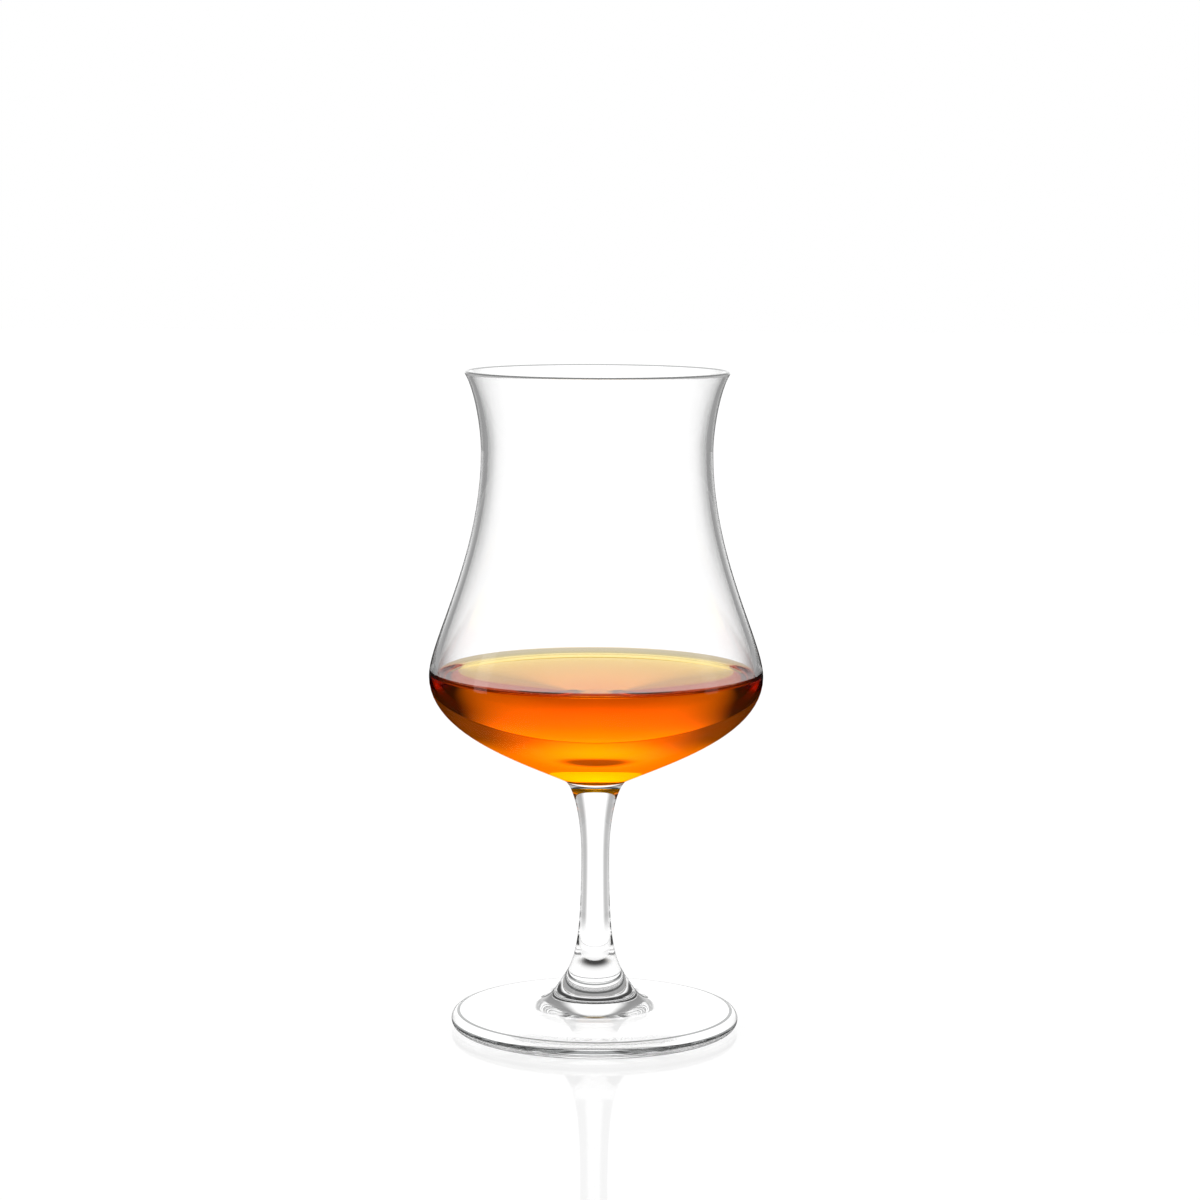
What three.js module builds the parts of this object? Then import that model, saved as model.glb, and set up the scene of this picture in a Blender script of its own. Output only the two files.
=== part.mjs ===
// A stemmed tulip glass with a pour of cognac up to the widest part of its bowl.
// Millimetres, +Z up. The origin is on the axis, in the plane that the foot stands on.
// The foot, the stem and the bowl are turned glass shapes that were joined hot at flat welds.
// The cognac is a body of its own that lies in the bowl.
import * as THREE from "three";

const glassHeight = 158.5; // the stem's lower stretch takes up what the other heights leave

// Foot: a round-edged disc, dished underneath, with a fillet that climbs to the stem
const footDiameter = 69.2; // across the rounded edge
const footEdgeThickness = 4;
const standingRingWidth = 6.5; // the flat ring that the glass stands on
const undersideHollow = 1.6; // depth of the dished underside at its middle
const footTopRise = 1.3; // climb of the upper face from its edge to the fillet
const filletWidth = 7.1; // from the foot weld out over the upper face
const filletHeight = 4; // from the upper face to the foot weld

// Stem: solid, narrow at its waist, flared at both ends
const footWeldDiameter = 18.8;
const footFlareLean = 33.6; // degrees from upright at the foot weld
const stemDiameter = 6.66; // at its narrowest place
const upperStemLength = 15.6; // narrowest place to the bowl weld

// Bowl: a blown shell that bellies out, draws in to a waist and flares to the lip
const neckLength = 2.95; // bowl weld to the corner where the neck meets the bowl
const neckFlareLean = 52; // degrees from upright at that corner
const cornerDiameter = 14.8;
const undersideSlope = 24.4; // degrees from level where the bowl leaves the neck
const bellyRise = 25.45; // corner to the widest place
const bellyDiameter = 80;
const waistRise = 53.7; // widest place to the waist
const waistDiameter = 55.2;
const lipRise = 19.2; // waist to the top of the lip
const lipDiameter = 62.9;
const lipLean = 32; // degrees from upright at the lip
const floorWall = 2.2; // glass under the cognac
const bellyWall = 1.9;
const waistWall = 1.6;
const lipWall = 1.1;

// Cognac
const pourDepth = 24.8; // bowl floor to the level surface
const pourGap = 0.3; // between the cognac and the glass

// How far each curve runs straight on from its ends, as shares of the height it covers
const lowerStemEase = { narrow: 0.787, weld: 0.22 };
const neckEase = { narrow: 0.5, corner: 0.15 };
const undersideEase = { corner: 0.578, belly: 0.5 };
const sideEase = { belly: 0.156, waist: 0.471 };
const lipEase = { waist: 0.33, lip: 0.21 };

const facets = 40; // around the axis
const footSteps = { dish: 4, edge: 8, fillet: 5 };
const stemSteps = { lower: 10, upper: 8 };
const bowlSteps = { neck: 4, floor: 3, underside: 9, side: 9, lip: 5, bead: 6 };

// Heights of the welds and of the main diameters
const footWeldHeight = footEdgeThickness + footTopRise + filletHeight;
const waistHeight = glassHeight - lipRise;
const bellyHeight = waistHeight - waistRise;
const cornerHeight = bellyHeight - bellyRise;
const bowlWeldHeight = cornerHeight - neckLength;
const narrowHeight = bowlWeldHeight - upperStemLength;

// Every outline is a list of points (distance from the axis, height)
const point = (radius, height) => new THREE.Vector2(radius, height);
const upright = point(0, 1);

// A unit step that leans outwards from upright
function leaning(degrees) {
  const angle = THREE.MathUtils.degToRad(degrees);
  return point(Math.sin(angle), Math.cos(angle));
}

// A smooth curve between two points that leaves and arrives along the given directions
function sweep(start, leaves, startEase, end, arrives, endEase) {
  const rise = Math.abs(end.y - start.y);
  const startHandle = start.clone().addScaledVector(leaves, startEase * rise);
  const endHandle = end.clone().addScaledVector(arrives, -endEase * rise);
  return new THREE.CubicBezierCurve(start, startHandle, endHandle, end);
}

// Where a rising curve passes a height
const closeEnough = 1e-9;
function shareAtHeight(curve, height) {
  let low = 0;
  let high = 1;
  while (high - low > closeEnough) {
    const middle = (low + high) / 2;
    if (curve.getPoint(middle).y < height) low = middle;
    else high = middle;
  }
  return (low + high) / 2;
}

function stretch(curve, from, to, steps) {
  return Array.from({ length: steps + 1 }, (_, i) => curve.getPoint(from + ((to - from) * i) / steps));
}

// The curves of the glass's outside
const footWeldEdge = point(footWeldDiameter / 2, footWeldHeight);
const narrowEdge = point(stemDiameter / 2, narrowHeight);
const corner = point(cornerDiameter / 2, cornerHeight);
const belly = point(bellyDiameter / 2, bellyHeight);
const waist = point(waistDiameter / 2, waistHeight);
const bead = lipWall / 2;
const beadCentre = point(lipDiameter / 2 - bead, glassHeight - bead);
const lipLeanAngle = THREE.MathUtils.degToRad(lipLean);
const lip = beadCentre.clone().add(point(bead * Math.cos(lipLeanAngle), -bead * Math.sin(lipLeanAngle)));

const lowerStemCurve = sweep(
  footWeldEdge, leaning(-footFlareLean), lowerStemEase.weld, narrowEdge, upright, lowerStemEase.narrow);
const neckCurve = sweep(
  narrowEdge, upright, neckEase.narrow, corner, leaning(neckFlareLean), neckEase.corner);
const undersideCurve = sweep(
  corner, leaning(90 - undersideSlope), undersideEase.corner, belly, upright, undersideEase.belly);
const sideCurve = sweep(belly, upright, sideEase.belly, waist, upright, sideEase.waist);
const lipCurve = sweep(waist, upright, lipEase.waist, lip, leaning(lipLean), lipEase.lip);
const bowlWeldShare = shareAtHeight(neckCurve, bowlWeldHeight);

// The same curve moved into the bowl by a wall that changes evenly along it
function insideOf(curve, startWall, endWall, steps) {
  return Array.from({ length: steps + 1 }, (_, i) => {
    const share = i / steps;
    const along = curve.getTangent(share);
    const inward = point(-along.y, along.x);
    return curve.getPoint(share).addScaledVector(inward, THREE.MathUtils.lerp(startWall, endWall, share));
  });
}

// The bowl's inner outline from its floor on the axis up to the lip, a gap inside the glass's own face
function bowlInside(gap) {
  const lower = insideOf(undersideCurve, floorWall + gap, bellyWall + gap, bowlSteps.underside);
  const upper = insideOf(sideCurve, bellyWall + gap, waistWall + gap, bowlSteps.side);
  const mouth = insideOf(lipCurve, waistWall + gap, lipWall + gap, bowlSteps.lip);
  const rest = lower[0];
  const dip = (rest.x / 2) * Math.tan(THREE.MathUtils.degToRad(undersideSlope));
  const floor = point(0, rest.y - dip);
  const floorCurve = new THREE.QuadraticBezierCurve(floor, point(rest.x / 2, rest.y - dip), rest);
  const floorStretch = floorCurve.getPoints(bowlSteps.floor);
  return [...floorStretch, ...lower.slice(1), ...upper.slice(1), ...mouth.slice(1)];
}

function footOutline() {
  const edge = footEdgeThickness / 2;
  const ringOuter = footDiameter / 2 - edge;
  const ringInner = ringOuter - standingRingWidth;
  const filletFoot = point(footWeldEdge.x + filletWidth, footEdgeThickness + footTopRise);
  const flareRun = filletHeight * Math.tan(THREE.MathUtils.degToRad(footFlareLean));
  const filletTurn = point(footWeldEdge.x + flareRun, filletFoot.y);
  const dish = new THREE.QuadraticBezierCurve(
    point(0, undersideHollow), point(ringInner / 2, undersideHollow), point(ringInner, 0));
  const roundEdge = new THREE.EllipseCurve(ringOuter, edge, edge, edge, -Math.PI / 2, Math.PI / 2);
  const fillet = new THREE.QuadraticBezierCurve(filletFoot, filletTurn, footWeldEdge);
  return [
    ...dish.getPoints(footSteps.dish),
    ...roundEdge.getPoints(footSteps.edge),
    ...fillet.getPoints(footSteps.fillet),
    point(0, footWeldHeight),
  ];
}

function stemOutline() {
  return [
    point(0, footWeldHeight),
    ...lowerStemCurve.getPoints(stemSteps.lower),
    ...stretch(neckCurve, 0, bowlWeldShare, stemSteps.upper).slice(1),
    point(0, bowlWeldHeight),
  ];
}

function bowlOutline() {
  const roundLip = new THREE.EllipseCurve(
    beadCentre.x, beadCentre.y, bead, bead, -lipLeanAngle, Math.PI - lipLeanAngle);
  return [
    point(0, bowlWeldHeight),
    ...stretch(neckCurve, bowlWeldShare, 1, bowlSteps.neck),
    ...undersideCurve.getPoints(bowlSteps.underside).slice(1),
    ...sideCurve.getPoints(bowlSteps.side).slice(1),
    ...lipCurve.getPoints(bowlSteps.lip).slice(1),
    ...roundLip.getPoints(bowlSteps.bead).slice(1, -1),
    ...bowlInside(0).reverse(),
  ];
}

// The bowl's inside, a gap in from the glass, filled up to the level surface
function cognacOutline() {
  const level = bowlInside(0)[0].y + pourDepth;
  const side = bowlInside(pourGap);
  const above = side.findIndex((place) => place.y > level);
  const share = (level - side[above - 1].y) / (side[above].y - side[above - 1].y);
  const shore = side[above - 1].clone().lerp(side[above], share);
  return [...side.slice(0, above), shore, point(0, level)];
}

// A lathe turns about Y, so each piece is tipped up to stand along Z
function turned(name, outline, look) {
  const shape = new THREE.LatheGeometry(outline, facets);
  const piece = new THREE.Mesh(shape, new THREE.MeshStandardMaterial(look));
  piece.name = name;
  piece.rotation.x = Math.PI / 2;
  return piece;
}

const clearGlass = { color: "#f3f7f6", roughness: 0.03, metalness: 0, transparent: true, opacity: 0.35 };
const amberSpirit = { color: "#c65a08", roughness: 0.05, metalness: 0, transparent: true, opacity: 0.85 };

const cognacGlass = new THREE.Group();
cognacGlass.add(
  turned("foot", footOutline(), clearGlass),
  turned("stem", stemOutline(), clearGlass),
  turned("bowl", bowlOutline(), clearGlass),
  turned("cognac", cognacOutline(), amberSpirit),
);

export default cognacGlass;
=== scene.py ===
import math
import bpy
from mathutils import Matrix, Vector


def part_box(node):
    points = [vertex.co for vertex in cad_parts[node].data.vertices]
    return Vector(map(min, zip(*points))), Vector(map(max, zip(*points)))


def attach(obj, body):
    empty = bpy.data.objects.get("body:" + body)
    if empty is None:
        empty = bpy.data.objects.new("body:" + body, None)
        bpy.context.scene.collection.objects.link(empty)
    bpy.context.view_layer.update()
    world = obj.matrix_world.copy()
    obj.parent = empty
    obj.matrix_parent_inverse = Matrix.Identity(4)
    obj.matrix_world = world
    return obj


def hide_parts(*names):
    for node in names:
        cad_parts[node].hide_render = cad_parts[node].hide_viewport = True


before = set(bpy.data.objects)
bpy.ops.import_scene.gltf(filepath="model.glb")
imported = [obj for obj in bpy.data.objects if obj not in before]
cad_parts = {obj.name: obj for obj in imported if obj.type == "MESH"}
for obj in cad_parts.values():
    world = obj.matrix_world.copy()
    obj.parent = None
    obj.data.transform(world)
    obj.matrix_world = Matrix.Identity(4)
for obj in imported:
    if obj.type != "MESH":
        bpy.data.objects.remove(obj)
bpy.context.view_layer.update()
scene = bpy.context.scene
mm = 0.001  # every size below is in millimetres, and Blender works in metres
degree = math.radians(1)
print("frame loaded:", ", ".join(sorted(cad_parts)))


# small helpers

def hexColor(text):
    # sRGB hex to the linear colour that the shaders work in
    parts = [int(text[i:i + 2], 16) / 255 for i in (1, 3, 5)]
    linear = [p / 12.92 if p <= 0.04045 else ((p + 0.055) / 1.055) ** 2.4 for p in parts]
    return (*linear, 1.0)


def addNode(tree, kind, settings=None, links=None):
    # a link comes from a socket, or from the first output of a node
    node = tree.nodes.new(kind)
    for key, value in (settings or {}).items():
        if isinstance(key, int) or key in node.inputs:
            node.inputs[key].default_value = value
        else:
            setattr(node, key, value)
    for key, source in (links or {}).items():
        socket = source.outputs[0] if isinstance(source, bpy.types.Node) else source
        tree.links.new(socket, node.inputs[key])
    return node


def newMaterial(name):
    made = bpy.data.materials.new(name)
    made.use_nodes = True
    made.node_tree.nodes.clear()
    return made, made.node_tree


# camera, at the photograph's place

camera = {
    "photoWidth": 1200,  # px, the photograph is square
    "focalLength": 3375,  # px
    "distance": 800.3,  # from the glass's axis, level
    "height": 200.9,  # over the floor
    "sideStep": 0.85,  # to the right of the axis
    "tilt": 6.92,  # degrees down
    "roll": 0.27,  # degrees
    "sensor": 36,
    "nearest": 10,
}


def placeCamera():
    place = (camera["sideStep"] * mm, -camera["distance"] * mm, camera["height"] * mm)
    bpy.ops.object.camera_add(location=place)
    made = bpy.context.object
    tilt = Matrix.Rotation(math.radians(90 - camera["tilt"]), 3, "X")
    roll = Matrix.Rotation(math.radians(camera["roll"]), 3, "Z")
    made.rotation_euler = (tilt @ roll).to_euler()
    made.data.sensor_width = camera["sensor"]
    made.data.lens = camera["sensor"] * camera["focalLength"] / camera["photoWidth"]
    made.data.clip_start = camera["nearest"] * mm
    scene.camera = made
    return made


bpy.ops.object.select_all(action="DESELECT")
photoCamera = placeCamera()
print("camera placed")


# profiles: a list of curve pieces, each with two ends and two handles, as (distance from axis, height)

upright = Vector((0, 1))


def leaning(degrees):
    angle = math.radians(degrees)
    return Vector((math.sin(angle), math.cos(angle)))


def sweep(start, leaves, startEase, end, arrives, endEase):
    rise = abs(end.y - start.y)
    return [start, start + leaves * startEase * rise, end - arrives * endEase * rise, end]


def straight(start, end):
    return [start, start.lerp(end, 1 / 3), start.lerp(end, 2 / 3), end]


def softTurn(start, turn, end):
    # one bend whose ends both aim at the turning point
    return [start, start.lerp(turn, 2 / 3), end.lerp(turn, 2 / 3), end]


def quarterTurn(centre, radius, fromAngle):
    # a quarter of a circle, anticlockwise
    reach = radius * 4 / 3 * math.tan(math.pi / 8)
    first = Vector((math.cos(fromAngle), math.sin(fromAngle)))
    last = Vector((-first.y, first.x))
    return [centre + first * radius, centre + first * radius + last * reach,
            centre + last * radius + first * reach, centre + last * radius]


def splitCurve(curve, share):
    start, leaves, arrives, end = curve
    early, middle, late = start.lerp(leaves, share), leaves.lerp(arrives, share), arrives.lerp(end, share)
    before, after = early.lerp(middle, share), middle.lerp(late, share)
    meet = before.lerp(after, share)
    return [start, early, before, meet], [meet, after, late, end]


closeEnough = 1e-9


def splitAtHeight(curve, height):
    low, high = 0.0, 1.0
    while high - low > closeEnough:
        middle = (low + high) / 2
        if splitCurve(curve, middle)[0][3].y < height:
            low = middle
        else:
            high = middle
    return splitCurve(curve, low)


def backwards(curves):
    return [curve[::-1] for curve in curves[::-1]]


turning = {
    "around": 192,  # faces round the axis
    "along": 22,  # and along each curve piece
    "merge": 0.0005,
    "smoothUpTo": 30,  # degrees
}


def turnProfile(name, curves):
    # draws the profile as a bezier curve, makes it a mesh and spins it round the axis
    bpy.ops.object.select_all(action="DESELECT")
    bpy.ops.curve.primitive_bezier_curve_add(location=(0, 0, 0))
    piece = bpy.context.object
    piece.name = name
    piece.data.resolution_u = turning["along"]
    spline = piece.data.splines[0]
    spline.bezier_points.add(len(curves) - 1)
    knots = [curve[0] for curve in curves] + [curves[-1][3]]
    before = [curves[0][0]] + [curve[2] for curve in curves]
    after = [curve[1] for curve in curves] + [curves[-1][3]]
    for knot, place, left, right in zip(spline.bezier_points, knots, before, after):
        knot.handle_left_type = knot.handle_right_type = "FREE"
        knot.co = (place.x * mm, 0, place.y * mm)
        knot.handle_left = (left.x * mm, 0, left.y * mm)
        knot.handle_right = (right.x * mm, 0, right.y * mm)
    bpy.ops.object.convert(target="MESH")
    bpy.ops.object.mode_set(mode="EDIT")
    bpy.ops.mesh.select_all(action="SELECT")
    bpy.ops.mesh.spin(steps=turning["around"], angle=2 * math.pi, center=(0, 0, 0), axis=(0, 0, 1))
    bpy.ops.mesh.select_all(action="SELECT")
    bpy.ops.mesh.remove_doubles(threshold=turning["merge"] * mm)
    bpy.ops.mesh.normals_make_consistent(inside=False)
    bpy.ops.object.mode_set(mode="OBJECT")
    bpy.ops.object.shade_smooth_by_angle(angle=math.radians(turning["smoothUpTo"]))
    piece.data.name = name
    return piece


# paths of light

# told apart by how often the light was bent (Transmission) or mirrored (Glossy) in the glass, and by
# how many wetted or welded faces it passed unbent (Transparent)
cognacSides = [("Transparent Depth", "GREATER_THAN", 1.5), ("Transmission Depth", "GREATER_THAN", 2.5)]
lightPaths = {
    "caughtInWall": [("Glossy Depth", "GREATER_THAN", 2.5)],
    # in and out once, through the stem or the foot
    "throughStem": [("Transmission Depth", "LESS_THAN", 2.5), ("Glossy Depth", "LESS_THAN", 0.5)],
    # in and out through the cognac's sides, and of that the light that was mirrored once at most
    "throughCognac": cognacSides,
    "straightThroughCognac": cognacSides + [("Glossy Depth", "LESS_THAN", 1.5)],
    # in through the cognac's level surface, and down through the bowl's underside or thrown back by it,
    # which makes the number of bends odd
    "downThroughCognac": [("Transparent Depth", "COMPARE", 1.0),
                          ("Transmission Depth", "GREATER_THAN", 2.5)],
    "thrownBack": [("Transmission Depth", "PINGPONG", 1.0), ("Transmission Depth", "GREATER_THAN", 6.5),
                   ("Transparent Depth", "GREATER_THAN", 2.5)],
    # mirrored by the cognac's surface into the glass behind, or by the outside of the glass
    "offSurface": [("Glossy Depth", "GREATER_THAN", 0.5), ("Transmission Depth", "GREATER_THAN", 3.5)],
    "offOutside": [("Glossy Depth", "GREATER_THAN", 0.5), ("Transmission Depth", "LESS_THAN", 0.5)],
    "mirrored": [("Glossy Depth", "GREATER_THAN", 0.5)],
    "mirroredTwice": [("Glossy Depth", "GREATER_THAN", 1.5)],
}


def allOf(tree, shares):
    # what is left of the light after all of these
    left = shares[0]
    for share in shares[1:]:
        left = addNode(tree, "ShaderNodeMath", {"operation": "MULTIPLY"}, {0: left, 1: share})
    return left


def lightIs(tree, path, name):
    # 1 for light that took such a path, and 0 for other light
    return allOf(tree, [
        addNode(tree, "ShaderNodeMath", {"operation": test, 1: count}, {0: path.outputs[depth]})
        for depth, test, count in lightPaths[name]])


# materials

glassLook = {
    "ior": 1.52,
    "shine": (0.25, 0.25, 0.25, 1.0),  # low, so that the studio's image doesn't veil the cognac
    "waveLength": 14,
    "waveHeight": 0.02,
    "waveStrength": 0.2,
    "clear": "#FEFEFE",
    # painted shade: grey tints that draw dark lines on the lip's top and round the foot's edge
    "lipShadeGrey": "#7C7E7E",
    "edgeShadeGrey": "#5C5E5E",
    "paintedGlow": 0.5,  # a painted glow that the glass itself gives off where light is caught in the wall, where 1 is paper white
}


def makeGlass(name, tint, mirrors=True, paintedGlow=0.0):
    # soda-lime glass, blown and fire-polished: clear, with a faint waviness that bends highlights
    made, tree = newMaterial(name)
    place = addNode(tree, "ShaderNodeTexCoord")
    waves = addNode(tree, "ShaderNodeTexNoise", {
        "Scale": 1 / (glassLook["waveLength"] * mm), "Detail": 1.0}, {"Vector": place.outputs["Object"]})
    bump = addNode(tree, "ShaderNodeBump", {
        "Strength": glassLook["waveStrength"], "Distance": glassLook["waveHeight"] * mm}, {"Height": waves})
    surface = addNode(tree, "ShaderNodeBsdfPrincipled", {
        "Base Color": hexColor(tint), "Roughness": 0.0, "IOR": glassLook["ior"], "Transmission Weight": 1.0,
        "Specular Tint": glassLook["shine"],
    }, {"Normal": bump})
    if not mirrors:
        # seen from outside this face only bends the light, so that the foot's image doesn't veil the cognac
        bent = addNode(tree, "ShaderNodeBsdfRefraction", {
            "Color": hexColor(tint), "Roughness": 0.0, "IOR": glassLook["ior"]}, {"Normal": bump})
        side = addNode(tree, "ShaderNodeNewGeometry")
        surface = addNode(tree, "ShaderNodeMixShader", links={
            "Fac": side.outputs["Backfacing"], 1: bent, 2: surface})
    if paintedGlow:
        # painted glow: where light is caught in the wall, the glass itself gives off an even grey light
        path = addNode(tree, "ShaderNodeLightPath")
        paintedWallGlow = addNode(tree, "ShaderNodeEmission", {"Color": (1, 1, 1, 1), "Strength": paintedGlow})
        surface = addNode(tree, "ShaderNodeMixShader", links={
            "Fac": lightIs(tree, path, "caughtInWall"), 1: surface, 2: paintedWallGlow})
    addNode(tree, "ShaderNodeOutputMaterial", links={"Surface": surface})
    return made


def makeWeld():
    # where two pieces of glass flowed together hot nothing is left to see
    made, tree = newMaterial("hotWeld")
    clear = addNode(tree, "ShaderNodeBsdfTransparent", {"Color": (1, 1, 1, 1)})
    addNode(tree, "ShaderNodeOutputMaterial", links={"Surface": clear})
    return made


spiritLook = {
    "ior": 1.36,
    "tint": "#FFF3DA",
    "depthColor": (0.995, 0.875, 0.0, 1.0),  # linear, what a thin layer lets pass
    "density": 240.0,
}


def makeCognac():
    # brandy aged in oak: a clear spirit that takes blue and green out of the light the deeper it is
    made, tree = newMaterial("agedCognac")
    # against air it bends light like any spirit, against the bowl only by the difference to glass
    openSurface = addNode(tree, "ShaderNodeAttribute", {"attribute_name": "openSurface"})
    bending = addNode(tree, "ShaderNodeMapRange", {
        "To Min": spiritLook["ior"] / glassLook["ior"], "To Max": spiritLook["ior"],
    }, {"Value": openSurface.outputs["Fac"]})
    spirit = addNode(tree, "ShaderNodeBsdfPrincipled", {
        "Base Color": hexColor(spiritLook["tint"]), "Roughness": 0.0, "IOR": spiritLook["ior"],
        "Transmission Weight": 1.0,
    }, {"IOR": bending})
    depth = addNode(tree, "ShaderNodeVolumeAbsorption", {
        "Color": spiritLook["depthColor"], "Density": spiritLook["density"]})
    addNode(tree, "ShaderNodeOutputMaterial", links={"Surface": spirit, "Volume": depth})
    return made


pressedMaterial = makeGlass("pressedGlass", glassLook["clear"])
blownMaterial = makeGlass("blownGlass", glassLook["clear"])
undersideMaterial = makeGlass("blownUnderside", glassLook["clear"], mirrors=False)
# painted glow: the flare and the lip give off grey light where light is caught in their wall
flareGlowMaterial = makeGlass("blownFlarePaintedGlow", glassLook["clear"], paintedGlow=glassLook["paintedGlow"])
# painted shade: the lip's top is tinted grey to draw a dark line, and it also gets the painted glow
lipShadeAndGlowMaterial = makeGlass("lipPaintedShadeAndGlow", glassLook["lipShadeGrey"], paintedGlow=glassLook["paintedGlow"])
# painted shade: two thin rings round the foot's edge are tinted grey to draw dark lines
footEdgeShadeMaterial = makeGlass("footEdgePaintedShade", glassLook["edgeShadeGrey"])
weldMaterial = makeWeld()
cognacMaterial = makeCognac()
print("materials made")


def dressGlass(piece, glass, weldHeights):
    # the flat weld faces get the weld material, everything else is polished glass
    piece.data.materials.append(glass)
    piece.data.materials.append(weldMaterial)
    for face in piece.data.polygons:
        heights = [piece.data.vertices[i].co.z for i in face.vertices]
        for weld in weldHeights:
            if max(abs(height - weld * mm) for height in heights) < turning["merge"] * mm:
                face.material_index = 1


def takePlace(piece, node):
    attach(piece, "root")
    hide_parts(node)


# the heights and widths that the pieces share, from the frame

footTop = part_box("foot")[1] / mm
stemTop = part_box("stem")[1] / mm
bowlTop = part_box("bowl")[1] / mm
footWeld = Vector((stemTop.x, footTop.z))
bowlWeldHeight = stemTop.z

# stem

stem = {
    "narrowRadius": 3.33,
    "narrowBelowWeld": 15.6,
    "footLean": 33.6,  # degrees from upright at the foot
    "footEase": 0.22,
    "narrowEaseDown": 0.787,
    "narrowEaseUp": 0.5,
    "cornerEase": 0.15,
    "cornerLean": 52,
}
bowl = {
    "neckLength": 2.95,
    "cornerRadius": 7.4,
    "undersideSlope": 24.4,
    "bellyRise": 25.45,
    "waistRise": 53.7,
    "waistRadius": 27.6,
    "lipRise": 19.2,
    "lipRadius": 31.45,
    "lipLean": 32,
    "floorWall": 2.2,
    "bellyWall": 1.9,
    "waistWall": 1.6,
    "lipWall": 1.1,
    "lipLine": 0.35,  # the band at the top of the lip that is tinted grey, a painted shade line
    "undersideEase": (0.578, 0.5),
    "sideEase": (0.156, 0.471),
    "lipEase": (0.33, 0.21),
    "floorFacing": 0.5,  # a face that looks up by more than this is the floor inside
}
narrow = Vector((stem["narrowRadius"], bowlWeldHeight - stem["narrowBelowWeld"]))
corner = Vector((bowl["cornerRadius"], bowlWeldHeight + bowl["neckLength"]))
lowerStem = sweep(
    footWeld, leaning(-stem["footLean"]), stem["footEase"], narrow, upright, stem["narrowEaseDown"])
neck = sweep(
    narrow, upright, stem["narrowEaseUp"], corner, leaning(stem["cornerLean"]), stem["cornerEase"])
upperStem, bowlNeck = splitAtHeight(neck, bowlWeldHeight)
bowlWeld = bowlNeck[0]


def makeStem():
    piece = turnProfile("glass_stem", [
        straight(Vector((0, footWeld.y)), footWeld),
        lowerStem,
        upperStem,
        straight(bowlWeld, Vector((0, bowlWeld.y))),
    ])
    dressGlass(piece, pressedMaterial, [footWeld.y, bowlWeld.y])
    takePlace(piece, "stem")


# foot

foot = {
    "edge": 4,
    "ringWidth": 6.5,
    "hollow": 1.6,
    "topRise": 1.3,
    "filletWidth": 7.1,
    "topLine": 0.75,  # the width of the painted grey shade ring on the rounded edge's top
    "topLineOut": 0.33,
    "sideLine": 0.9,  # and of the one round its side
}


def makeFoot():
    half, hollow = foot["edge"] / 2, foot["hollow"]
    ringOuter = footTop.x - half
    ringInner = ringOuter - foot["ringWidth"]
    filletFoot = Vector((footWeld.x + foot["filletWidth"], foot["edge"] + foot["topRise"]))
    flareRun = (footWeld.y - filletFoot.y) * math.tan(math.radians(stem["footLean"]))
    edgeCentre = Vector((ringOuter, half))
    piece = turnProfile("glass_foot", [
        softTurn(Vector((0, hollow)), Vector((ringInner / 2, hollow)), Vector((ringInner, 0))),
        straight(Vector((ringInner, 0)), Vector((ringOuter, 0))),
        quarterTurn(edgeCentre, half, -math.pi / 2),
        quarterTurn(edgeCentre, half, 0),
        straight(Vector((ringOuter, foot["edge"])), filletFoot),
        softTurn(filletFoot, Vector((footWeld.x + flareRun, filletFoot.y)), footWeld),
        straight(footWeld, Vector((0, footWeld.y))),
    ])
    dressGlass(piece, pressedMaterial, [footWeld.y])
    # two thin rings on the rounded edge are tinted grey: painted shade lines where the edge should look
    # dark
    piece.data.materials.append(footEdgeShadeMaterial)
    for face in piece.data.polygons:
        away = math.hypot(face.center.x, face.center.y) / mm
        height = face.center.z / mm
        onTop = height > half and abs(away - ringOuter - foot["topLineOut"]) < foot["topLine"] / 2
        onSide = away > ringOuter and abs(height - half) < foot["sideLine"] / 2
        if onTop or onSide:
            face.material_index = 2
    takePlace(piece, "foot")


# bowl

belly = Vector((bowlTop.x, corner.y + bowl["bellyRise"]))
waist = Vector((bowl["waistRadius"], belly.y + bowl["waistRise"]))
lipHeight = waist.y + bowl["lipRise"]
bead = bowl["lipWall"] / 2
beadCentre = Vector((bowl["lipRadius"] - bead, lipHeight - bead))
lipAngle = math.radians(bowl["lipLean"])


def inwards(place, lean, wall):
    # a point moved square to the surface, into the bowl
    along = leaning(lean)
    return place + Vector((-along.y, along.x)) * wall


def bowlCurves(floorWall, bellyWall, waistWall, lipWall):
    # the bowl's side from its corner to its lip, that far inside the outer face
    slope = 90 - bowl["undersideSlope"]
    lipOuter = beadCentre + Vector((math.cos(lipAngle), -math.sin(lipAngle))) * bead
    start = inwards(corner, slope, floorWall)
    widest = inwards(belly, 0, bellyWall)
    drawn = inwards(waist, 0, waistWall)
    end = inwards(lipOuter, bowl["lipLean"], lipWall)
    under, side, lip = bowl["undersideEase"], bowl["sideEase"], bowl["lipEase"]
    return [
        sweep(start, leaning(slope), under[0], widest, upright, under[1]),
        sweep(widest, upright, side[0], drawn, upright, side[1]),
        sweep(drawn, upright, lip[0], end, leaning(bowl["lipLean"]), lip[1]),
    ]


def floorCurve(start):
    # rounds the inside off to the axis
    dip = start.x / 2 * math.tan(math.radians(bowl["undersideSlope"]))
    return softTurn(Vector((0, start.y - dip)), Vector((start.x / 2, start.y - dip)), start)


def bowlInside(sunk):
    # the inner face, or a face that far under it in the glass
    sides = bowlCurves(*[bowl[wall] - sunk for wall in ("floorWall", "bellyWall", "waistWall", "lipWall")])
    return [floorCurve(sides[0][0])] + sides


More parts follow.
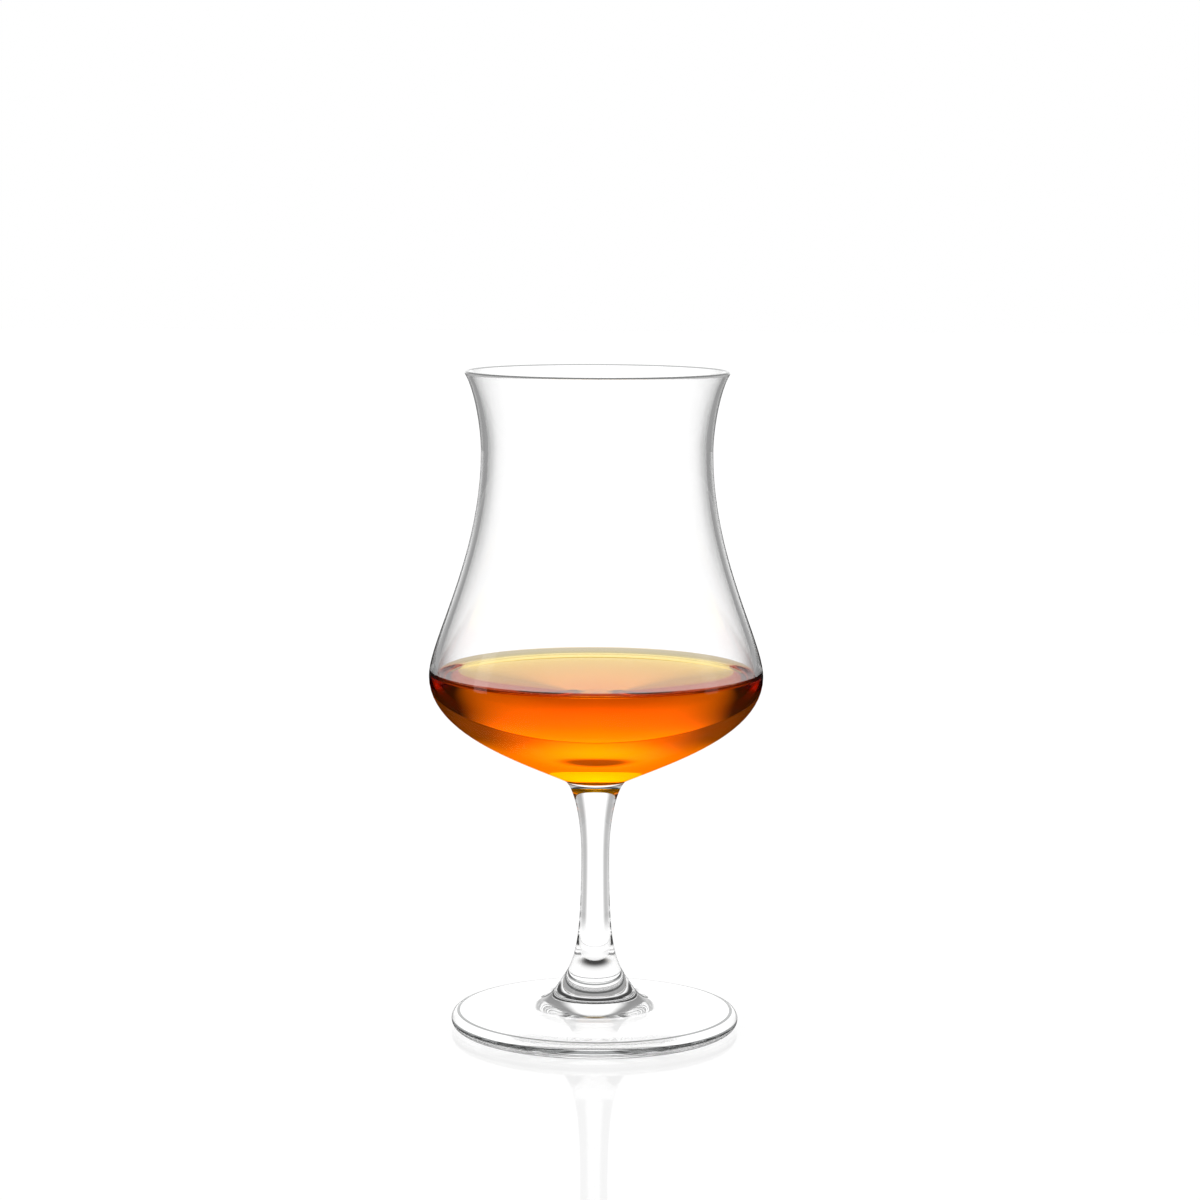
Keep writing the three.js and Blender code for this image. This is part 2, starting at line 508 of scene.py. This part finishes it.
cognac = {
    "level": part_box("cognac")[1].z / mm,
    "meniscusRise": 1.4,
    "meniscusWidth": 2.8,
    "meniscusLeaves": (-0.12, -0.75),  # down from the glass, in shares of its rise
    "meniscusArrives": 0.55,  # on the level, in shares of its width
    "sunk": 0.06,  # into the glass, so that no film of air shows between them
    "levelPlay": 0.001,
}
shore = cognac["level"] + cognac["meniscusRise"]


def facesInwards(face):
    return face.normal.x * face.center.x + face.normal.y * face.center.y < 0


def makeBowl():
    floor, under, side, lip = bowlInside(0)
    wetSide, drySide = splitAtHeight(side, shore)
    piece = turnProfile("glass_bowl", [
        straight(Vector((0, bowlWeld.y)), bowlWeld),
        bowlNeck,
        *bowlCurves(0, 0, 0, 0),
        quarterTurn(beadCentre, bead, -lipAngle),
        quarterTurn(beadCentre, bead, math.pi / 2 - lipAngle),
        *backwards([floor, under, wetSide, drySide, lip]),
    ])
    dressGlass(piece, blownMaterial, [bowlWeld.y])
    piece.data.materials.append(undersideMaterial)
    piece.data.materials.append(lipShadeAndGlowMaterial)
    piece.data.materials.append(flareGlowMaterial)
    for face in piece.data.polygons:
        if face.center.z < shore * mm and (facesInwards(face) or face.normal.z > bowl["floorFacing"]):
            face.material_index = 1  # under the cognac the spirit's own surface does the bending
        elif face.center.z < belly.y * mm and face.material_index == 0:
            face.material_index = 2
        # the lip's top band: painted grey shade and painted glow
        elif face.center.z > (lipHeight - bowl["lipLine"]) * mm:
            face.material_index = 3
        # above the waist: the painted glow
        elif face.center.z > waist.y * mm:
            face.material_index = 4
    takePlace(piece, "bowl")


# cognac

def makeCognacPour():
    level, rise, width = cognac["level"], cognac["meniscusRise"], cognac["meniscusWidth"]
    floor, under, side, _ = bowlInside(cognac["sunk"])
    wetSide, _ = splitAtHeight(side, shore)
    dryWall, _ = splitAtHeight(bowlInside(0)[2], shore)
    contact = dryWall[3]
    calm = Vector((contact.x - width, level))
    climb = [contact, contact + Vector(cognac["meniscusLeaves"]) * rise,
             calm + Vector((cognac["meniscusArrives"], 0)) * width, calm]
    piece = turnProfile("cognac_pour", [
        floor, under, wetSide, straight(wetSide[3], contact), climb, straight(calm, Vector((0, level)))])
    piece.data.materials.append(cognacMaterial)
    openSurface = piece.data.attributes.new("openSurface", "FLOAT", "FACE")
    for face in piece.data.polygons:
        high = face.center.z > (level - cognac["levelPlay"]) * mm
        within = math.hypot(face.center.x, face.center.y) < contact.x * mm
        openSurface.data[face.index].value = 1.0 if high and within else 0.0
    takePlace(piece, "cognac")


makeFoot()
makeStem()
makeBowl()
makeCognacPour()
print("glass and cognac modelled")


# studio

def fallOff(numbers, unit=1):
    # where it starts and ends, and the light at its start and at its end, where 1 is paper white
    start, end, first, last = numbers
    return {"interpolation_type": "SMOOTHSTEP", "From Min": start * unit, "From Max": end * unit,
            "To Min": first, "To Max": last}


# light that the backdrop and the table share
levels = {
    "through": 1.17,  # brighter than paper, so that it stays white through the glass
    "sides": 0.27,  # left and right of the glass
    "wet": 0.1,  # through the cognac, which gets most of its light from the table's glow and the card
    "thrownBack": 0.55,  # by the bowl's underside
}
backdrop = {
    "aside": (12, 27, 1.0, levels["sides"]),  # degrees from straight behind the glass
    "up": (38, 62, 1.0, 0.5),  # degrees
    "room": (120, 155, 0.0, 0.5),  # degrees, behind the camera
    "stemAside": (18, 33, 1.0, 0.42),  # degrees, the stem gathers light from further round
    "stemAgain": (40, 62, 0.0, 0.22),  # and its sides are a little lighter again
    "offSurface": 0.65,  # mirrored by the cognac's surface
}


def stemSees(tree, aside):
    band = addNode(tree, "ShaderNodeMapRange", fallOff(backdrop["stemAside"], degree), {"Value": aside})
    again = addNode(tree, "ShaderNodeMapRange", fallOff(backdrop["stemAgain"], degree), {"Value": aside})
    return addNode(tree, "ShaderNodeMath", {"operation": "ADD"}, {0: band, 1: again})


def makeBackdrop(pivot):
    # a white glow behind the glass that fades to dark at both sides and overhead
    world = bpy.data.worlds.new("brightFieldStudio")
    scene.world = world
    world.use_nodes = True
    tree = world.node_tree
    tree.nodes.clear()
    path = addNode(tree, "ShaderNodeLightPath")
    place = addNode(tree, "ShaderNodeTexCoord", {"object": pivot})
    way = addNode(tree, "ShaderNodeVectorMath", {"operation": "NORMALIZE"}, {0: place.outputs["Object"]})
    axes = addNode(tree, "ShaderNodeSeparateXYZ", links={"Vector": way})
    turn = addNode(tree, "ShaderNodeMath", {"operation": "ARCTAN2"},
                   {0: axes.outputs["X"], 1: axes.outputs["Y"]})
    aside = addNode(tree, "ShaderNodeMath", {"operation": "ABSOLUTE"}, {0: turn})
    rise = addNode(tree, "ShaderNodeMath", {"operation": "ARCSINE"}, {0: axes.outputs["Z"]})
    bowlSees = addNode(tree, "ShaderNodeMapRange", fallOff(backdrop["aside"], degree), {"Value": aside})
    ahead = addNode(tree, "ShaderNodeMix", links={
        "Factor": lightIs(tree, path, "throughStem"), "A": bowlSees, "B": stemSees(tree, aside)})
    room = addNode(tree, "ShaderNodeMapRange", fallOff(backdrop["room"], degree), {"Value": aside})
    level = addNode(tree, "ShaderNodeMath", {"operation": "MAXIMUM"}, {0: ahead, 1: room})
    up = addNode(tree, "ShaderNodeMapRange", fallOff(backdrop["up"], degree), {"Value": rise})
    wet = addNode(tree, "ShaderNodeMix", {"A": levels["through"], "B": levels["wet"]},
                  {"Factor": lightIs(tree, path, "throughCognac")})
    mirror = addNode(tree, "ShaderNodeMix", {"A": 1.0, "B": backdrop["offSurface"]},
                     {"Factor": lightIs(tree, path, "offSurface")})
    strength = addNode(tree, "ShaderNodeMix", {"B": levels["thrownBack"]}, {
        "Factor": lightIs(tree, path, "thrownBack"), "A": allOf(tree, [level, up, wet, mirror])})
    # the glass shows this glow, and everything else plain white
    glow = addNode(tree, "ShaderNodeBackground", {"Color": (1, 1, 1, 1)}, {"Strength": strength})
    plain = addNode(tree, "ShaderNodeBackground", {"Color": (1, 1, 1, 1), "Strength": 1.0})
    inGlass = addNode(tree, "ShaderNodeMath", {"operation": "MAXIMUM"},
                      {0: path.outputs["Is Glossy Ray"], 1: path.outputs["Is Transmission Ray"]})
    both = addNode(tree, "ShaderNodeMixShader", links={"Fac": inGlass, 1: plain, 2: glow})
    addNode(tree, "ShaderNodeOutputWorld", links={"Surface": both})


table = {
    "size": 8000,
    "paper": 1.0,  # as the camera sees it
    "color": (0.95, 0.95, 0.95, 1),
    "glowing": 0.9,  # the share of its white that is its own light
    "ior": 1.35,
    "sheen": 0.02,  # how blurred its reflection is
    "mirror": 0.55,  # how much of that is left
    "fan": (0.15, 0.43, 1.0, levels["sides"]),  # white in a fan, in shares of the distance behind
    "fanFrom": 450,  # and that distance counts as this at least
    "wetFan": (0.05, 1.0, 1.0, levels["wet"]),  # the same for light through the cognac
    "wetFanFrom": 350,
    "stemFrom": (45, 90, 0.0, 1.0),  # from here outwards the stem sees it fall off to the sides
    "front": (-220, -60, 0.25, 1.0),  # darker in front of the glass
    "nearby": (250, 330, 1.0, 0.0),  # evenly white within this, seen down through the cognac
    "edgeFrom": (112, 140, 0.0, 0.45),  # the cognac's climbing edge shows this ring, which is darker
    "edgeTo": (330, 400, 1.0, 0.0),
    "glow": (410, 114, 240),  # how far behind the glass its middle is, half its width, half its depth
    "glowLevel": (0.0, 1.0, 3.1, 0.0),
    "neck": (310, 42, 52),  # the same of the patch that the neck under the bowl shades
    "neckLevel": (0.45, 1.0, 0.16, 1.0),
    "offOutside": 0.03,  # mirrored by the outside of the glass
    # how strongly it is shaded: in a round place under the stem, in front of the stem under the foot,
    # outside the foot's edge and as far out as that goes, and in the middle under the whole foot
    "underStem": (2, 10, 1.0, 0.0),
    "underFront": (-24, -20, 1.0, 0.0),
    "pastEdge": (34, 36, 0.0, 0.65),
    "roundFoot": (44, 50, 1.0, 0.0),
    "underFoot": (29, 33, 1.0, 0.0),
    "middle": (8, 13, 1.0, 0.0),
    "shade": (0, 1, 1.0, 0.05),  # from no shade to full shade, the light that is left
}


def tableFan(tree, spot, numbers, nearest):
    far = addNode(tree, "ShaderNodeMath", {"operation": "MAXIMUM", 1: nearest * mm}, {0: spot["behind"]})
    slant = addNode(tree, "ShaderNodeMath", {"operation": "DIVIDE"}, {0: spot["aside"], 1: far})
    return addNode(tree, "ShaderNodeMapRange", fallOff(numbers), {"Value": slant})


def tablePatch(tree, spot, oval, numbers):
    behind, wide, deep = oval
    fromMiddle = addNode(tree, "ShaderNodeVectorMath", {"operation": "SUBTRACT", 1: (0, behind * mm, 0)},
                         {0: spot["place"]})
    shares = addNode(tree, "ShaderNodeVectorMath", {"operation": "DIVIDE", 1: (wide * mm, deep * mm, 1)},
                     {0: fromMiddle})
    reach = addNode(tree, "ShaderNodeVectorMath", {"operation": "LENGTH"}, {0: shares})
    return addNode(tree, "ShaderNodeMapRange", fallOff(numbers), {"Value": reach.outputs["Value"]})


def tableLight(tree, path, spot):
    # white behind the glass, falling off to the sides as the bowl and the stem see it
    outer = addNode(tree, "ShaderNodeMapRange", fallOff(table["stemFrom"], mm), {"Value": spot["away"]})
    stemShare = addNode(tree, "ShaderNodeMix", {"A": 1.0}, {
        "Factor": outer, "B": stemSees(tree, spot["turn"])})
    sides = addNode(tree, "ShaderNodeMix", links={
        "Factor": lightIs(tree, path, "throughStem"),
        "A": tableFan(tree, spot, table["fan"], table["fanFrom"]), "B": stemShare})
    front = addNode(tree, "ShaderNodeMapRange", fallOff(table["front"], mm), {"Value": spot["behind"]})
    # down through the cognac's level surface it is even, and through its climbing edge darker
    down = lightIs(tree, path, "downThroughCognac")
    nearby = addNode(tree, "ShaderNodeMapRange", fallOff(table["nearby"], mm), {"Value": spot["away"]})
    even = addNode(tree, "ShaderNodeMix", {"B": 1.0}, {"Factor": allOf(tree, [nearby, down]), "A": sides})
    edgeFrom = addNode(tree, "ShaderNodeMapRange", fallOff(table["edgeFrom"], mm), {"Value": spot["away"]})
    edgeTo = addNode(tree, "ShaderNodeMapRange", fallOff(table["edgeTo"], mm), {"Value": spot["away"]})
    edge = addNode(tree, "ShaderNodeMath", {"operation": "SUBTRACT", 0: 1.0},
                   {1: allOf(tree, [edgeFrom, edgeTo, down])})
    # through the cognac's sides it is a fan and a glow, with a patch that the neck shades
    wet = lightIs(tree, path, "throughCognac")
    wetShare = addNode(tree, "ShaderNodeMix", {"A": 1.0}, {
        "Factor": wet, "B": tableFan(tree, spot, table["wetFan"], table["wetFanFrom"])})
    spread = addNode(tree, "ShaderNodeMath", {"operation": "MULTIPLY", 1: levels["through"]},
                     {0: allOf(tree, [even, front, wetShare, edge])})
    glow = allOf(tree, [tablePatch(tree, spot, table["glow"], table["glowLevel"]),
                        lightIs(tree, path, "straightThroughCognac")])
    both = addNode(tree, "ShaderNodeMath", {"operation": "ADD"}, {0: spread, 1: glow})
    neckShare = addNode(tree, "ShaderNodeMix", {"A": 1.0}, {
        "Factor": wet, "B": tablePatch(tree, spot, table["neck"], table["neckLevel"])})
    return addNode(tree, "ShaderNodeMix", {"B": levels["thrownBack"]}, {
        "Factor": lightIs(tree, path, "thrownBack"), "A": allOf(tree, [both, neckShare])})


def tableShade(tree, path, spot):
    # what the outside of the glass mirrors of the table is dark, so that it doesn't veil the cognac
    outside = addNode(tree, "ShaderNodeMix", {"A": 1.0, "B": table["offOutside"]},
                      {"Factor": lightIs(tree, path, "offOutside")})
    # dark under the stem and the foot's edge, after a reflection in the glass, draws the rings in the foot
    under = addNode(tree, "ShaderNodeMapRange", fallOff(table["underStem"], mm), {"Value": spot["away"]})
    ahead = addNode(tree, "ShaderNodeMapRange", fallOff(table["underFront"], mm), {"Value": spot["behind"]})
    past = addNode(tree, "ShaderNodeMapRange", fallOff(table["pastEdge"], mm), {"Value": spot["away"]})
    near = addNode(tree, "ShaderNodeMapRange", fallOff(table["roundFoot"], mm), {"Value": spot["away"]})
    edge = addNode(tree, "ShaderNodeMath", {"operation": "MAXIMUM"}, {0: ahead, 1: past})
    below = addNode(tree, "ShaderNodeMath", {"operation": "MAXIMUM"},
                    {0: under, 1: allOf(tree, [edge, near])})
    rings = addNode(tree, "ShaderNodeMapRange", fallOff(table["shade"]),
                    {"Value": allOf(tree, [lightIs(tree, path, "mirrored"), below])})
    # light that went to and fro in the foot ends in the dark under it
    hidden = addNode(tree, "ShaderNodeMapRange", fallOff(table["underFoot"], mm), {"Value": spot["away"]})
    middle = addNode(tree, "ShaderNodeMapRange", fallOff(table["middle"], mm), {"Value": spot["aside"]})
    toAndFro = addNode(tree, "ShaderNodeMapRange", fallOff(table["shade"]),
                       {"Value": allOf(tree, [lightIs(tree, path, "mirroredTwice"), hidden, middle])})
    return allOf(tree, [outside, rings, toAndFro])


def makeTable(pivot):
    # a white acrylic sheet, lit from below, with a dull shine
    bpy.ops.object.select_all(action="DESELECT")
    bpy.ops.mesh.primitive_plane_add(size=table["size"] * mm, location=(0, 0, 0))
    floor = bpy.context.object
    floor.name = "floor"
    made, tree = newMaterial("whiteAcrylicSheet")
    path = addNode(tree, "ShaderNodeLightPath")
    place = addNode(tree, "ShaderNodeTexCoord", {"object": pivot})
    axes = addNode(tree, "ShaderNodeSeparateXYZ", links={"Vector": place.outputs["Object"]})
    aside = addNode(tree, "ShaderNodeMath", {"operation": "ABSOLUTE"}, {0: axes.outputs["X"]})
    away = addNode(tree, "ShaderNodeVectorMath", {"operation": "LENGTH"}, {0: place.outputs["Object"]})
    turn = addNode(tree, "ShaderNodeMath", {"operation": "ARCTAN2"}, {0: aside, 1: axes.outputs["Y"]})
    spot = {"place": place.outputs["Object"], "aside": aside, "behind": axes.outputs["Y"],
            "away": away.outputs["Value"], "turn": turn}
    shown = addNode(tree, "ShaderNodeMix", {"B": table["paper"]}, {
        "Factor": path.outputs["Is Camera Ray"], "A": tableLight(tree, path, spot)})
    glow = addNode(tree, "ShaderNodeEmission", {"Color": (1, 1, 1, 1)}, {"Strength": shown})
    lit = addNode(tree, "ShaderNodeBsdfDiffuse", {"Color": table["color"]})
    glowing = addNode(tree, "ShaderNodeMix", {"A": table["glowing"], "B": 0.0},
                      {"Factor": path.outputs["Is Diffuse Ray"]})
    white = addNode(tree, "ShaderNodeMixShader", links={"Fac": glowing, 1: lit, 2: glow})
    facing = addNode(tree, "ShaderNodeFresnel", {"IOR": table["ior"]})
    mirror = addNode(tree, "ShaderNodeMath", {"operation": "MULTIPLY", 1: table["mirror"]}, {0: facing})
    gloss = addNode(tree, "ShaderNodeBsdfGlossy", {"Color": (1, 1, 1, 1), "Roughness": table["sheen"]})
    top = addNode(tree, "ShaderNodeMixShader", links={
        "Fac": allOf(tree, [mirror, path.outputs["Is Camera Ray"]]), 1: white, 2: gloss})
    dark = addNode(tree, "ShaderNodeEmission", {"Strength": 0.0})
    seen = addNode(tree, "ShaderNodeMixShader", links={
        "Fac": tableShade(tree, path, spot), 1: dark, 2: top})
    addNode(tree, "ShaderNodeOutputMaterial", links={"Surface": seen})
    floor.data.materials.append(made)


standing = {
    "behind": 250,
    "wide": 520,
    "reach": (104, 135, 0.33, 0.5),  # how wide its light is by height, as a share of its half width
    "across": (-0.15, 1.3, 1.05, 0.0),  # in shares of that
    "bottom": (88, 96, 0.0, 0.56),  # by height, from the card's lower edge
    "rise": (103.5, 131, 0.0, 3.2),  # what the bright part adds
    "top": (400, 450, 1.0, 0.0),  # to its upper edge
}


def makeStandingCard(pivot):
    # a hidden reflector that only light through the cognac's sides shows, dim at the cognac's level and
    # bright above it, which makes the cognac dark on top and golden below
    low, high = standing["bottom"][0], standing["top"][1]
    middle, half = (high + low) / 2, (high - low) / 2
    bpy.ops.object.select_all(action="DESELECT")
    bpy.ops.mesh.primitive_plane_add(size=2)
    card = bpy.context.object
    card.name = "standingCard"
    card.scale = (standing["wide"] / 2 * mm, half * mm, 1)
    card.parent = pivot
    card.location = (0, standing["behind"] * mm, middle * mm)
    card.rotation_euler = (math.pi / 2, 0, 0)
    card.visible_camera = False
    card.visible_glossy = False
    card.visible_diffuse = False
    card.visible_shadow = False
    made, tree = newMaterial("standingCard")
    path = addNode(tree, "ShaderNodeLightPath")
    place = addNode(tree, "ShaderNodeTexCoord")
    axes = addNode(tree, "ShaderNodeSeparateXYZ", links={"Vector": place.outputs["Object"]})
    aside = addNode(tree, "ShaderNodeMath", {"operation": "ABSOLUTE"}, {0: axes.outputs["X"]})
    height = addNode(tree, "ShaderNodeMath", {"operation": "MULTIPLY_ADD", 1: half, 2: middle},
                     {0: axes.outputs["Y"]})
    reach = addNode(tree, "ShaderNodeMapRange", fallOff(standing["reach"]), {"Value": height})
    ratio = addNode(tree, "ShaderNodeMath", {"operation": "DIVIDE"}, {0: aside, 1: reach})
    across = addNode(tree, "ShaderNodeMapRange", fallOff(standing["across"]), {"Value": ratio})
    bottom = addNode(tree, "ShaderNodeMapRange", fallOff(standing["bottom"]), {"Value": height})
    rise = addNode(tree, "ShaderNodeMapRange", fallOff(standing["rise"]), {"Value": height})
    level = addNode(tree, "ShaderNodeMath", {"operation": "ADD"}, {0: bottom, 1: rise})
    top = addNode(tree, "ShaderNodeMapRange", fallOff(standing["top"]), {"Value": height})
    bright = addNode(tree, "ShaderNodeEmission", {"Color": (1, 1, 1, 1)}, {
        "Strength": allOf(tree, [level, across, top, lightIs(tree, path, "straightThroughCognac")])})
    clear = addNode(tree, "ShaderNodeBsdfTransparent")
    both = addNode(tree, "ShaderNodeAddShader", links={0: clear, 1: bright})
    addNode(tree, "ShaderNodeOutputMaterial", links={"Surface": both})
    card.data.materials.append(made)


softbox = {
    "aside": 280,
    "forward": 50,
    "wide": 60,
    "tall": 900,
    "leftPower": 0.4,  # watts
    "rightPower": 0.2,
}


def makeSoftbox(name, side, power, pivot):
    bpy.ops.object.light_add(type="AREA")
    box = bpy.context.object
    box.name = name
    box.data.shape = "RECTANGLE"
    box.data.size = softbox["wide"] * mm
    box.data.size_y = softbox["tall"] * mm
    box.data.energy = power
    box.location = (side * softbox["aside"] * mm, -softbox["forward"] * mm, softbox["tall"] / 2 * mm)
    box.rotation_euler = (math.pi / 2, 0, side * math.pi / 2)
    box.parent = pivot
    box.visible_transmission = False


def makeStudio():
    # all of it turns round the glass with the camera, as if the glass stood on a turntable
    bpy.ops.object.empty_add(location=(0, 0, 0))
    pivot = bpy.context.object
    pivot.name = "turntableRig"
    follow = pivot.constraints.new("LOCKED_TRACK")
    follow.target = photoCamera
    follow.track_axis = "TRACK_NEGATIVE_Y"
    follow.lock_axis = "LOCK_Z"
    makeBackdrop(pivot)
    makeTable(pivot)
    makeStandingCard(pivot)
    makeSoftbox("softboxLeft", -1, softbox["leftPower"], pivot)
    makeSoftbox("softboxRight", 1, softbox["rightPower"], pivot)


makeStudio()
scene.view_settings.view_transform = "Standard"
scene.cycles.max_bounces = 32
scene.cycles.transmission_bounces = 32
scene.cycles.glossy_bounces = 16
scene.cycles.transparent_max_bounces = 32
print("studio set")
